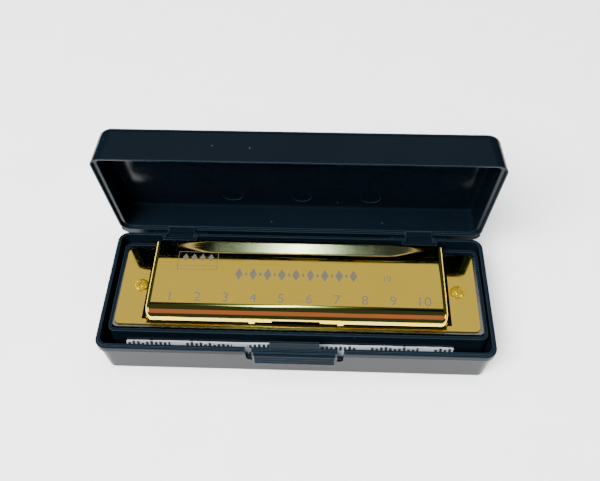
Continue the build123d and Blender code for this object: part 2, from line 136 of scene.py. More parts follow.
def thicken(obj, thickness):
    """Gives a shell its sheet thickness, inward."""
    focus(obj)
    made = obj.modifiers.new("sheet", "SOLIDIFY")
    made.thickness = thickness
    made.offset = -1
    bpy.ops.object.modifier_apply(modifier=made.name)


def soften(obj, width):
    """A fine rounded edge all over a piece."""
    focus(obj)
    made = obj.modifiers.new("edges", "BEVEL")
    made.width = width
    made.segments = 2
    made.limit_method = "ANGLE"
    made.angle_limit = math.radians(35)
    bpy.ops.object.modifier_apply(modifier=made.name)


def carve(obj, tool):
    """Cuts the tool out of a piece and removes the tool."""
    focus(obj)
    made = obj.modifiers.new("cut", "BOOLEAN")
    made.operation = "DIFFERENCE"
    made.solver = "EXACT"
    made.object = tool
    bpy.ops.object.modifier_apply(modifier=made.name)
    bpy.data.objects.remove(tool)


def join(name, pieces):
    """Makes one piece of several."""
    deselect()
    for piece in pieces:
        piece.select_set(True)
    bpy.context.view_layer.objects.active = pieces[0]
    bpy.ops.object.join()
    pieces[0].name = name
    return pieces[0]


def smooth(obj, angle):
    """Smooth shading that leaves flat faces flat."""
    focus(obj)
    bpy.ops.object.shade_smooth_by_angle(angle=math.radians(angle))
    made = obj.modifiers.new("flats", "WEIGHTED_NORMAL")
    made.weight = 100
    made.keep_sharp = True
    bpy.ops.object.modifier_apply(modifier=made.name)


def finish_piece(obj, material, body, slot, *replaced):
    """Brings a piece to metres, gives it its finish and lets it move with its body."""
    focus(obj)
    obj.scale = (MM, MM, MM)
    bpy.ops.object.transform_apply(location=True, rotation=True, scale=True)
    obj.data.materials.clear()
    obj.data.materials.append(material)
    if replaced:
        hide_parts(*replaced)
    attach(obj, body)
    return obj


# ------------------------------------------------------------------ finishes
def new_group(name, inputs, outputs):
    """An empty shader node group with named sockets."""
    tree = bpy.data.node_groups.new(name, "ShaderNodeTree")
    for label, kind, value in inputs:
        socket = tree.interface.new_socket(name=label, in_out="INPUT", socket_type="NodeSocket" + kind)
        socket.default_value = value
    for label, kind in outputs:
        tree.interface.new_socket(name=label, in_out="OUTPUT", socket_type="NodeSocket" + kind)
    return tree


def add(tree, kind, **values):
    node = tree.nodes.new("ShaderNode" + kind)
    for key, value in values.items():
        setattr(node, key, value)
    return node


def wire(tree, source, target):
    tree.links.new(source, target)


def math_node(tree, operation, first, second=None, third=None):
    node = add(tree, "Math", operation=operation)
    for socket, value in zip(node.inputs, (first, second, third)):
        if value is None:
            continue
        if isinstance(value, (int, float)):
            socket.default_value = value
        else:
            wire(tree, value, socket)
    return node.outputs[0]


def noise(tree, vector, scale, detail=2.0, roughness=0.5, distortion=0.0):
    node = add(tree, "TexNoise")
    node.inputs["Scale"].default_value = scale
    node.inputs["Detail"].default_value = detail
    node.inputs["Roughness"].default_value = roughness
    node.inputs["Distortion"].default_value = distortion
    wire(tree, vector, node.inputs["Vector"])
    return node.outputs["Fac"]


def remap(tree, value, low, high, to_low, to_high):
    node = add(tree, "MapRange")
    for label, number in (("From Min", low), ("From Max", high), ("To Min", to_low), ("To Max", to_high)):
        node.inputs[label].default_value = number
    wire(tree, value, node.inputs["Value"])
    return node.outputs["Result"]


def make_handling_group():
    """Faint smears and hairlines left by handling: a roughness to add and a height."""
    tree = new_group("handling", [("Smear", "Float", 0.05), ("Hairline", "Float", 0.02)],
                     [("Roughness", "Float"), ("Height", "Float")])
    inside = tree.nodes.new("NodeGroupInput")
    outside = tree.nodes.new("NodeGroupOutput")
    place = add(tree, "TexCoord").outputs["Object"]
    smear = remap(tree, noise(tree, place, 90, 4, 0.6, 0.4), 0.42, 0.72, 0, 1)
    stretch = add(tree, "Mapping")
    stretch.inputs["Rotation"].default_value = (0, 0, 0.5)
    stretch.inputs["Scale"].default_value = (60, 2600, 900)
    wire(tree, place, stretch.inputs["Vector"])
    hair = remap(tree, noise(tree, stretch.outputs["Vector"], 1.0, 1.5, 0.5, 0.6), 0.62, 0.72, 0, 1)
    first = math_node(tree, "MULTIPLY", smear, inside.outputs["Smear"])
    second = math_node(tree, "MULTIPLY", hair, inside.outputs["Hairline"])
    wire(tree, math_node(tree, "ADD", first, second), outside.inputs["Roughness"])
    wire(tree, math_node(tree, "MULTIPLY", hair, -0.000002), outside.inputs["Height"])
    return tree


def make_dust_group():
    """A mask of scattered fine specks."""
    tree = new_group("dust", [("Density", "Float", 0.06), ("Scale", "Float", 900.0)], [("Mask", "Float")])
    inside = tree.nodes.new("NodeGroupInput")
    outside = tree.nodes.new("NodeGroupOutput")
    place = add(tree, "TexCoord").outputs["Object"]
    cells = add(tree, "TexVoronoi", feature="F1")
    wire(tree, place, cells.inputs["Vector"])
    wire(tree, inside.outputs["Scale"], cells.inputs["Scale"])
    near = math_node(tree, "LESS_THAN", cells.outputs["Distance"], 0.16)
    split = add(tree, "SeparateColor")
    wire(tree, cells.outputs["Color"], split.inputs["Color"])
    few = math_node(tree, "LESS_THAN", split.outputs["Red"], inside.outputs["Density"])
    patch = remap(tree, noise(tree, place, 45, 2), 0.4, 0.65, 0, 1)
    scattered = math_node(tree, "MULTIPLY", near, few)
    wire(tree, math_node(tree, "MULTIPLY", scattered, patch), outside.inputs["Mask"])
    return tree


def make_moulded_group():
    """Moulded plastic: softened corners and a slight ripple of the polished tool, as a normal."""
    tree = new_group("moulded", [("Corner", "Float", 0.0003), ("Ripple", "Float", 0.15)],
                     [("Normal", "Vector")])
    inside = tree.nodes.new("NodeGroupInput")
    outside = tree.nodes.new("NodeGroupOutput")
    place = add(tree, "TexCoord").outputs["Object"]
    corner = add(tree, "Bevel", samples=6)
    wire(tree, inside.outputs["Corner"], corner.inputs["Radius"])
    bump = add(tree, "Bump")
    bump.inputs["Distance"].default_value = 0.00002
    wire(tree, inside.outputs["Ripple"], bump.inputs["Strength"])
    wire(tree, noise(tree, place, 160, 3), bump.inputs["Height"])
    wire(tree, corner.outputs["Normal"], bump.inputs["Normal"])
    wire(tree, bump.outputs["Normal"], outside.inputs["Normal"])
    return tree


def make_edge_group():
    """A mask of the polished corners of a moulding, which catch more light than its faces; plastic() paints
    a highlight colour there.
    """
    tree = new_group("edges", [("Width", "Float", 0.0004)], [("Mask", "Float")])
    inside = tree.nodes.new("NodeGroupInput")
    outside = tree.nodes.new("NodeGroupOutput")
    rounded = add(tree, "Bevel", samples=8)
    wire(tree, inside.outputs["Width"], rounded.inputs["Radius"])
    product = add(tree, "VectorMath", operation="DOT_PRODUCT")
    wire(tree, rounded.outputs["Normal"], product.inputs[0])
    wire(tree, add(tree, "NewGeometry").outputs["Normal"], product.inputs[1])
    wire(tree, remap(tree, product.outputs["Value"], 0.99, 0.86, 0, 1), outside.inputs["Mask"])
    return tree


HANDLING = make_handling_group()
EDGES = make_edge_group()
DUST = make_dust_group()
MOULDED = make_moulded_group()


def use(tree, group, **values):
    node = tree.nodes.new("ShaderNodeGroup")
    node.node_tree = group
    for label, value in values.items():
        node.inputs[label].default_value = value
    return node


def blank_material(name, **sockets):
    """A material with its shader's fixed values set."""
    made = bpy.data.materials.new(name)
    made.use_nodes = True
    shader = made.node_tree.nodes["Principled BSDF"]
    for label, value in sockets.items():
        shader.inputs[label.replace("_", " ")].default_value = value
    return made, made.node_tree, shader


def two_colours(tree, mask, low, high):
    """A colour that runs from low to high with the mask."""
    node = add(tree, "Mix", data_type="RGBA")
    node.inputs[6].default_value = (*low, 1)
    node.inputs[7].default_value = (*high, 1)
    wire(tree, mask, node.inputs[0])
    return node.outputs[2]


DUST_COLOUR = (0.05, 0.055, 0.06, 1)
# A lighter bluish colour painted on the rounded corners of the plastic as a highlight.
EDGE_HIGHLIGHT_COLOUR = (0.009, 0.0165, 0.0235, 1)


def plastic(name, deep, pale, roughness, corner=0.0003):
    """Glossy injection-moulded plastic with handling marks, a little dust and a painted highlight on its
    rounded corners.
    """
    made, tree, shader = blank_material(name, IOR=1.48, Specular_IOR_Level=0.10)
    place = add(tree, "TexCoord").outputs["Object"]
    tint = two_colours(tree, noise(tree, place, 30, 3), deep, pale)
    specks = use(tree, DUST, Density=0.025, Scale=800.0)
    dusted = add(tree, "Mix", data_type="RGBA")
    dusted.inputs[7].default_value = DUST_COLOUR
    wire(tree, specks.outputs["Mask"], dusted.inputs[0])
    wire(tree, tint, dusted.inputs[6])
    # Painted highlight: the rounded corners are mixed towards a lighter bluish colour.
    edge_highlighted = add(tree, "Mix", data_type="RGBA")
    edge_highlighted.inputs[7].default_value = EDGE_HIGHLIGHT_COLOUR
    wire(tree, use(tree, EDGES, Width=0.0005).outputs["Mask"], edge_highlighted.inputs[0])
    wire(tree, dusted.outputs[2], edge_highlighted.inputs[6])
    wire(tree, edge_highlighted.outputs[2], shader.inputs["Base Color"])
    marks = use(tree, HANDLING, Smear=0.05, Hairline=0.08)
    wire(tree, math_node(tree, "ADD", marks.outputs["Roughness"], roughness), shader.inputs["Roughness"])
    form = use(tree, MOULDED, Corner=corner, Ripple=0.12)
    wire(tree, form.outputs["Normal"], shader.inputs["Normal"])
    return made


def gold(name, deep, pale, roughness, rise=0.0, metallic=1.0):
    """Polished gold plating. rise tips the reflection as if the sheet climbed towards its rear edge."""
    made, tree, shader = blank_material(name, Metallic=metallic, Specular_Tint=(0.94, 0.76, 0.36, 1))
    place = add(tree, "TexCoord").outputs["Object"]
    tint = two_colours(tree, noise(tree, place, 55, 3), deep, pale)
    wire(tree, tint, shader.inputs["Base Color"])
    marks = use(tree, HANDLING, Smear=0.03, Hairline=0.02)
    wire(tree, math_node(tree, "ADD", marks.outputs["Roughness"], roughness), shader.inputs["Roughness"])
    split = add(tree, "SeparateXYZ")
    wire(tree, place, split.inputs[0])
    height = math_node(tree, "MULTIPLY", split.outputs["Y"], rise)
    bump = add(tree, "Bump")
    bump.inputs["Strength"].default_value = 1.0
    bump.inputs["Distance"].default_value = 1.0
    wire(tree, math_node(tree, "ADD", height, marks.outputs["Height"]), bump.inputs["Height"])
    wire(tree, bump.outputs["Normal"], shader.inputs["Normal"])
    return made


def brushed(name, deep, pale, roughness):
    """Rolled sheet metal with a fine lengthwise grain."""
    made, tree, shader = blank_material(name, Metallic=1.0)
    place = add(tree, "TexCoord").outputs["Object"]
    grain = add(tree, "Mapping")
    grain.inputs["Scale"].default_value = (120, 5200, 5200)
    wire(tree, place, grain.inputs["Vector"])
    lines = noise(tree, grain.outputs["Vector"], 1.0, 3)
    wire(tree, two_colours(tree, lines, deep, pale), shader.inputs["Base Color"])
    wire(tree, remap(tree, lines, 0.3, 0.7, roughness - 0.06, roughness + 0.08), shader.inputs["Roughness"])
    bump = add(tree, "Bump")
    bump.inputs["Distance"].default_value = 0.000004
    wire(tree, lines, bump.inputs["Height"])
    wire(tree, bump.outputs["Normal"], shader.inputs["Normal"])
    return made


def etched(name):
    """The frosted surface that an etched mark leaves on the plating."""
    made, tree, shader = blank_material(name, Metallic=0.55)
    place = add(tree, "TexCoord").outputs["Object"]
    speckle = noise(tree, place, 2600, 2)
    frosted = two_colours(tree, speckle, (0.095, 0.088, 0.062), (0.15, 0.14, 0.10))
    wire(tree, frosted, shader.inputs["Base Color"])
    wire(tree, remap(tree, speckle, 0, 1, 0.42, 0.6), shader.inputs["Roughness"])
    return made


# Plain printed strokes: lengths in metres, the rest as shares of a row, a group or a stroke.
ROW_PITCH = 0.0031
GROUP_PITCH = 0.0172
STROKE_PITCH = 0.00125
ROW_SHIFT = 0.37
ROW_FOOT = 0.95
STROKE_TOP, STROKE_TOP_RANGE = 0.55, -0.3
GROUP_FILL = 0.76
STROKE_FILL = 0.62
INK_COLOUR = (0.012, 0.014, 0.02, 1)


def paper(name, top, left):
    """White paper, coloured as it looks in painted shade, printed with rows of plain strokes, ruled from its
    top edge and its left end in metres.
    """
    made, tree, shader = blank_material(name, Roughness=0.75)
    place = add(tree, "TexCoord").outputs["Object"]
    fibre = noise(tree, place, 1500, 4, 0.7)
    # The sheet is painted a dark bluish grey: painted shade over white paper, as in the case's front
    # channel.
    shaded_sheet_colour = two_colours(tree, fibre, (0.30, 0.335, 0.37), (0.41, 0.44, 0.48))
    split = add(tree, "SeparateXYZ")
    wire(tree, place, split.inputs[0])
    along = math_node(tree, "SUBTRACT", split.outputs["X"], left)
    down = math_node(tree, "SUBTRACT", top, split.outputs["Z"])
    row = math_node(tree, "DIVIDE", down, ROW_PITCH)
    shift = math_node(tree, "MULTIPLY", math_node(tree, "FLOOR", row), ROW_SHIFT)
    word = math_node(tree, "ADD", math_node(tree, "DIVIDE", along, GROUP_PITCH), shift)
    group = math_node(tree, "FRACT", word)
    stroke = math_node(tree, "DIVIDE", along, STROKE_PITCH)
    height = add(tree, "TexWhiteNoise", noise_dimensions="1D")
    wire(tree, math_node(tree, "FLOOR", stroke), height.inputs["W"])
    start = math_node(tree, "MULTIPLY_ADD", height.outputs["Value"], STROKE_TOP_RANGE, STROKE_TOP)
    in_row = math_node(tree, "GREATER_THAN", math_node(tree, "FRACT", row), start)
    over_foot = math_node(tree, "LESS_THAN", math_node(tree, "FRACT", row), ROW_FOOT)
    in_row = math_node(tree, "MULTIPLY", in_row, over_foot)
    in_group = math_node(tree, "LESS_THAN", group, GROUP_FILL)
    in_stroke = math_node(tree, "LESS_THAN", math_node(tree, "FRACT", stroke), STROKE_FILL)
    ink = math_node(tree, "MULTIPLY", in_row, math_node(tree, "MULTIPLY", in_group, in_stroke))
    printed = add(tree, "Mix", data_type="RGBA")
    printed.inputs[7].default_value = INK_COLOUR
    wire(tree, ink, printed.inputs[0])
    wire(tree, shaded_sheet_colour, printed.inputs[6])
    wire(tree, printed.outputs[2], shader.inputs["Base Color"])
    bump = add(tree, "Bump")
    bump.inputs["Distance"].default_value = 0.00002
    wire(tree, fibre, bump.inputs["Height"])
    wire(tree, bump.outputs["Normal"], shader.inputs["Normal"])
    return made


SLIP_LOW, SLIP_HIGH = box_mm("paper_slip")
SHEET_RISE = math.tan(math.radians(10.7))
CASE = plastic("case_plastic", (0.0011, 0.0025, 0.0043), (0.0019, 0.0040, 0.0064), 0.12)
LATCH = plastic("latch_plastic", (0.0012, 0.0028, 0.0048), (0.0022, 0.0045, 0.0072), 0.16, 0.00015)
COVER = gold("cover_gold", (0.94, 0.66, 0.085), (0.99, 0.73, 0.12), 0.04, rise=SHEET_RISE)
LIP = gold("cover_gold_lip", (0.90, 0.66, 0.20), (0.98, 0.74, 0.26), 0.09, rise=SHEET_RISE)
COVER_PLAIN = gold("cover_gold_plain", (0.92, 0.65, 0.13), (0.99, 0.73, 0.18), 0.05)
# Near-black gold on the hollow bends: a painted dark reflection, not the plating's colour.
BEND_PAINTED_DARK = gold("cover_gold_bend_painted_dark", (0.055, 0.047, 0.018), (0.10, 0.082, 0.030), 0.14)
SCREW = gold("screw_gold", (0.95, 0.62, 0.02), (1.0, 0.73, 0.05), 0.10, metallic=0.88)
PLATE = brushed("plate_nickel", (0.52, 0.53, 0.54), (0.72, 0.73, 0.73), 0.26)
BRASS = brushed("reed_brass", (0.62, 0.45, 0.20), (0.78, 0.60, 0.30), 0.3)
STEEL = brushed("steel", (0.42, 0.42, 0.43), (0.60, 0.60, 0.61), 0.3)
COMB = plastic("comb_plastic", (0.012, 0.012, 0.013), (0.02, 0.02, 0.021), 0.3)
ETCHED = etched("etched_mark")
PAPER = paper("slip_paper", SLIP_HIGH.z * MM + 0.0002, SLIP_LOW.x * MM)


def finish_of(node):
    """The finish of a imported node, told by its name."""
    if node.endswith("_cover"):
        return COVER_PLAIN
    if node.startswith("cover_"):
        return SCREW
    if node.endswith("reed_plate"):
        return PLATE
    if "_reed_" in node:
        return BRASS
    if node.endswith("nails") or node.startswith("hinge_pin"):
        return STEEL
    return {"case_base": CASE, "case_lid": CASE, "latch_clip": LATCH, "paper_slip": PAPER,
            "harmonica_comb": COMB}[node]


for name, node in NODES.items():
    for slot in node.material_slots:
        slot.material = finish_of(name)
    if not node.material_slots:
        node.data.materials.append(finish_of(name))


# ------------------------------------------------------------------ upper cover
SHEET = 0.5
COVER_LOW, COVER_HIGH = box_mm("upper_cover")
VAULT_LEFT = COVER_LOW.x + 8.4
VAULT_RIGHT = COVER_HIGH.x - 9.1
VAULT_FRONT = COVER_LOW.y + 0.15
VAULT_REAR = COVER_HIGH.y - 0.5
VAULT_LEAN = 0.45
NOSE = 3.8
END_ROUND = 1.6
COVE = 1.3
COVE_START = 1.6        # vault's front to the start of the bend
HOLLOW = 0.086          # bevel profile of a hollow quarter circle
LEFT_REACH = 0.45       # how far the left end reaches past the plain cover's
COVER_MIDDLE = (COVER_LOW.x + COVER_HIGH.x) / 2
LIP_FRONT = 8.0
LIP_REAR = 11.9
LIP_HALF = 26.0         # from the middle to where the lip starts to narrow
LIP_TIP = 40.0          # from the middle to the lip's tips
LIP_TILT = math.tan(math.radians(11))
LIP_BEND = 0.12         # share of the lip's width that bends at each edge
LIP_TIP_GAP = 0.7       # at the tips, the front edge ends this far before LIP_REAR
LIP_REAR_DRAW = 0.6     # at the tips, the rear edge ends this far before LIP_REAR
LIP_ROWS = [LIP_FRONT - 0.3 + 0.2 * step for step in range(21)]
LIP_COLUMNS = [COVER_MIDDLE - 40.5 + 1.5 * step for step in range(55)]
LIP_TOP = 0.004         # a face this far over the flat top belongs to the lip
FLANGE_ROUND = 1.8
MARGIN = 0.01           # two places closer than this are the same


def near(a, b):
    return abs(a - b) < MARGIN


def lip_rise(x, y):
    """Height of the pressed lip over the flat top."""
    run = min(1.0, max(0.0, (abs(x - COVER_MIDDLE) - LIP_HALF) / (LIP_TIP - LIP_HALF)))
    front = LIP_FRONT + run * (LIP_REAR - LIP_FRONT - LIP_TIP_GAP)
    rear = LIP_REAR - LIP_REAR_DRAW * run
    span = max(0.0, rear - front) * (1 - run)
    t = min(1.0, max(0.0, (y - front) / max(rear - front, 0.01)))
    if t < LIP_BEND:
        eased = t * t / (2 * LIP_BEND)
    elif t > 1 - LIP_BEND:
        eased = 1 - LIP_BEND - (1 - t) * (1 - t) / (2 * LIP_BEND)
    else:
        eased = t - LIP_BEND / 2
    return span * LIP_TILT * eased


def on_top(cos):
    """True for an edge or a face that lies in the flat top."""
    return all(near(co.z, COVER_HIGH.z) for co in cos)


def at_foot(cos):
    return all(near(co.z, COVER_LOW.z) for co in cos)


def at_rear(cos):
    return all(near(co.y, VAULT_REAR) for co in cos)


def make_vault():
    """The raised middle of the cover: rounded front and ends, open rear, a lip pressed into its top."""
    vault = block("vault", (VAULT_LEFT, VAULT_FRONT, COVER_LOW.z), (VAULT_RIGHT, VAULT_REAR, COVER_HIGH.z))
    pick(vault, "VERT", lambda co: near(co.z, COVER_HIGH.z) and near(co.y, VAULT_FRONT))
    bpy.ops.transform.translate(value=(0, VAULT_LEAN, 0))
    bpy.ops.object.mode_set(mode="OBJECT")
    drop_faces(vault, lambda cos: at_foot(cos) or at_rear(cos))
    round_edges(vault, lambda cos: on_top(cos) and all(co.y < 0 for co in cos), NOSE, 16)
    for end in (VAULT_LEFT, VAULT_RIGHT):
        round_edges(vault, lambda cos: all(near(co.x, end) for co in cos)
                    and not at_foot(cos) and not at_rear(cos), END_ROUND, 8)
    cut_lines(vault, 1, LIP_ROWS, on_top)
    cut_lines(vault, 0, LIP_COLUMNS, on_top)
    for vertex in vault.data.vertices:
        if near(vertex.co.z, COVER_HIGH.z):
            vertex.co.z += lip_rise(vertex.co.x, vertex.co.y)
    thicken(vault, SHEET)
    return vault


def make_flange(side):
    """A flat end of the cover with two rounded corners."""
    end = COVER_LOW.x - LEFT_REACH if side < 0 else COVER_HIGH.x
    inner = VAULT_LEFT + SHEET / 2 if side < 0 else VAULT_RIGHT - SHEET / 2
    flange = block("flange", (min(end, inner), COVER_LOW.y, COVER_LOW.z),
                   (max(end, inner), COVER_HIGH.y, COVER_LOW.z + SHEET))
    round_edges(flange, lambda cos: all(near(co.x, end) for co in cos) and near(cos[0].y, cos[1].y),
                FLANGE_ROUND, 10)
    soften(flange, 0.1)
    return flange


def make_cove(side):
    """The hollow bend between a flat end and the end wall of the vault."""
    wall = VAULT_LEFT if side < 0 else VAULT_RIGHT
    inner, outer = wall - side * SHEET / 2, wall + side * COVE
    seat = COVER_LOW.z + SHEET
    cove = block("cove", (min(inner, outer), VAULT_FRONT + COVE_START, seat - 0.1),
                 (max(inner, outer), VAULT_REAR, seat + COVE))
    pick(cove, "EDGE", lambda cos: all(near(co.x, outer) and near(co.z, seat + COVE) for co in cos))
    bpy.ops.mesh.bevel(offset=COVE - 0.04, offset_type="OFFSET", segments=8, profile=HOLLOW,
                       affect="EDGES")
    bpy.ops.object.mode_set(mode="OBJECT")
    return cove


def in_bend(place):
    """True on the hollow bends at the feet of the end walls."""
    low, high = COVER_LOW.z + SHEET + 2 * MARGIN, COVER_LOW.z + SHEET + COVE + MARGIN
    left = VAULT_LEFT - COVE - MARGIN < place.x < VAULT_LEFT - MARGIN
    right = VAULT_RIGHT + MARGIN < place.x < VAULT_RIGHT + COVE + MARGIN
    return (left or right) and low < place.z < high


def make_cover():
    """The whole upper cover, with a finish of its own on the lip, and near-black gold on the two bends as a
    painted dark reflection.
    """
    foot = block("foot", (VAULT_LEFT, COVER_LOW.y, COVER_LOW.z),
                 (VAULT_RIGHT, VAULT_FRONT + SHEET / 2, COVER_LOW.z + SHEET))
    soften(foot, 0.08)
    pieces = [make_vault()]
    pieces += [make(side) for make in (make_flange, make_cove) for side in (-1, 1)]
    cover = join("cover_plate_upper", [*pieces, foot])
    smooth(cover, 30)
    finish_piece(cover, COVER, "harmonica", "cover_gold", "upper_cover")
    cover.data.materials.append(LIP)
    cover.data.materials.append(BEND_PAINTED_DARK)
    for face in cover.data.polygons:
        place = face.center / MM
        if place.z > COVER_HIGH.z + LIP_TOP and face.normal.z > 0.5:
            face.material_index = 1
        # The hollow bends get the near-black gold, a painted dark reflection.
        elif in_bend(place):
            face.material_index = 2
    return cover


make_cover()


# ------------------------------------------------------------------ cover screws
SCREW_LOW, SCREW_HIGH = box_mm("cover_screws")
HEAD_RADIUS = 1.95
HEAD_RIM = 0.2
HEAD_RINGS = 9
HEAD_SEAT = COVER_LOW.z + SHEET
SHANK_RADIUS = 0.95
ARM_REACH = 1.25
ARM_HALF_WIDTH = 0.33
ARM_ABOVE = 0.5         # how far the cutting cross starts over the head
ARM_TAPER = (0.45, 0.6, 1)
SCREW_TURNS = (38, 12)  # degrees, left and right


def make_screw(x, y, turn):
    """A domed head with a cross recess on its shank."""
    height = SCREW_HIGH.z - HEAD_SEAT
    screw = disc("screw", HEAD_RADIUS, HEAD_RIM, (x, y, HEAD_SEAT), 64)
    rise = height - HEAD_RIM
    level = HEAD_SEAT + HEAD_RIM
    pick(screw, "FACE", lambda cos: len(cos) > 4 and all(near(co.z, level) for co in cos))
    radius, height_now = HEAD_RADIUS, 0.0
    for ring in range(1, HEAD_RINGS):
        new_radius = HEAD_RADIUS * math.cos(math.pi / 2 * ring / HEAD_RINGS)
        new_height = rise * math.sin(math.pi / 2 * ring / HEAD_RINGS)
        bpy.ops.mesh.inset(thickness=radius - new_radius, depth=0)
        bpy.ops.transform.translate(value=(0, 0, new_height - height_now))
        radius, height_now = new_radius, new_height
    bpy.ops.object.mode_set(mode="OBJECT")
    pick(screw, "FACE", lambda cos: len(cos) > 4 and all(near(co.z, HEAD_SEAT) for co in cos))
    bpy.ops.mesh.inset(thickness=HEAD_RADIUS - SHANK_RADIUS, depth=0)
    bpy.ops.mesh.extrude_region_move(TRANSFORM_OT_translate={"value": (0, 0, SCREW_LOW.z - HEAD_SEAT)})
    bpy.ops.object.mode_set(mode="OBJECT")
    top = SCREW_HIGH.z + ARM_ABOVE
    for angle in (turn, turn + 90):
        arm = block("arm", (x - ARM_REACH, y - ARM_HALF_WIDTH, top - ARM_REACH),
                    (x + ARM_REACH, y + ARM_HALF_WIDTH, top))
        pick(arm, "VERT", lambda co: co.z < top - ARM_ABOVE)
        bpy.ops.transform.resize(value=ARM_TAPER, center_override=(x, y, top))
        bpy.ops.mesh.select_all(action="SELECT")
        bpy.ops.transform.rotate(value=math.radians(angle), orient_axis="Z", center_override=(x, y, top))
        bpy.ops.object.mode_set(mode="OBJECT")
        carve(screw, arm)
    return screw


def make_screws():
    """Both screws, each turned its own way."""
    y = (SCREW_LOW.y + SCREW_HIGH.y) / 2
    left = make_screw(SCREW_LOW.x + HEAD_RADIUS, y, SCREW_TURNS[0])
    right = make_screw(SCREW_HIGH.x - HEAD_RADIUS, y, SCREW_TURNS[1])
    screws = join("cover_plate_screws", [left, right])
    smooth(screws, 40)
    return finish_piece(screws, SCREW, "harmonica", "screw_gold", "cover_screws")


make_screws()


# ------------------------------------------------------------------ etched marks
MARK_HEIGHT = COVER_HIGH.z - 0.01
MARK_PROUD = 0.025
LINE = 0.16             # width of a ruled line
NUMBER_START = -34.6
NUMBER_PITCH = 7.64     # the pitch of the playing holes
NUMBER_Y = -7.1
NUMBER_SIZE = 4.2
TEN_SHIFT = 0.7         # the two-digit number sits this much further along
NOTE_X, NOTE_Y, NOTE_SIZE = 25.0, 0.3, 2.4
BOX_ENDS = (-33.9, -22.7)
BOX_FRONT, BOX_RULE, BOX_REAR = 2.1, 3.4, 8.2
BOX_ROW = (-31.8, -29.4, -27.0, -24.6)
BOX_ROW_Y = 6.3
BAND_START, BAND_PITCH, BAND_Y, BAND_COUNT = -16.2, 4.0, 0.9, 9
ROW_DIAMOND, BAND_DIAMOND, SMALL_DIAMOND = (1.7, 2.6), (2.2, 4.1), (0.8, 1.6)     # wide, tall


def numeral(text, x, y, size):
    """One etched numeral, centred on its place."""
    deselect()
    bpy.ops.object.text_add()
    obj = bpy.context.object
    obj.data.body = text
    obj.data.size = size
    obj.data.align_x = "CENTER"
    obj.data.align_y = "CENTER"
    obj.data.extrude = MARK_PROUD / 2
    obj.data.resolution_u = 4
    bpy.ops.object.convert(target="MESH")
    obj = bpy.context.object
    obj.location = (x, y, MARK_HEIGHT + MARK_PROUD / 2)
    bpy.ops.object.transform_apply(location=True, rotation=True, scale=True)
    return obj


def lozenge(x, y, wide, tall):
    """A flat diamond."""
    diamond = disc("lozenge", 0.5, MARK_PROUD, (0, 0, MARK_HEIGHT), 4)
    diamond.scale = (wide, tall, 1)
    diamond.location = (x, y, 0)
    bpy.ops.object.transform_apply(location=True, rotation=True, scale=True)
    return diamond


def strip(x0, x1, y0, y1):
    """A thin etched line."""
    return block("strip", (x0, y0, MARK_HEIGHT), (x1, y1, MARK_HEIGHT + MARK_PROUD))


def make_marks():
    """Hole numbers, a band of diamonds and a small ruled box."""
    marks = []
    for index in range(10):
        shift = TEN_SHIFT if index == 9 else 0
        x = NUMBER_START + NUMBER_PITCH * index + shift
        marks.append(numeral(str(index + 1), x, NUMBER_Y, NUMBER_SIZE))
    marks.append(numeral("10", NOTE_X, NOTE_Y, NOTE_SIZE))
    for x in BOX_ROW:
        marks.append(lozenge(x, BOX_ROW_Y, *ROW_DIAMOND))
    marks += [strip(*BOX_ENDS, y, y + LINE) for y in (BOX_FRONT, BOX_REAR, BOX_RULE)]
    marks += [strip(x, x + LINE, BOX_FRONT, BOX_REAR + LINE) for x in BOX_ENDS]
    for index in range(BAND_COUNT):
        x = BAND_START + BAND_PITCH * index
        marks.append(lozenge(x, BAND_Y, *BAND_DIAMOND))
        if index < BAND_COUNT - 1:
            marks.append(lozenge(x + BAND_PITCH / 2, BAND_Y, *SMALL_DIAMOND))
    obj = join("etched_marks", marks)
    return finish_piece(obj, ETCHED, "harmonica", "cover_gold")


make_marks()


# ------------------------------------------------------------------ paper slip
LEAF_GAP = 0.05         # left free under and over a leaf
LEAF_FRONT = 0.12       # slip's front to the first leaf
LEAF_STEP = 0.2         # from one leaf to the next
LEAF_SHEET = 0.08
LEAF_SHORTER = 0.3      # the second leaf is this much lower
LEAN_SPARE = 0.45       # depth that the leaves and their waves need besides the lean
LEAN_STEPS = (0.25, 0.5, 0.75, 1.0)
LEAN_START = 0.06
WAVES = (-36, -12, 20, 34)
WAVE_WIDTH = 9
WAVE_DEPTH = 0.07


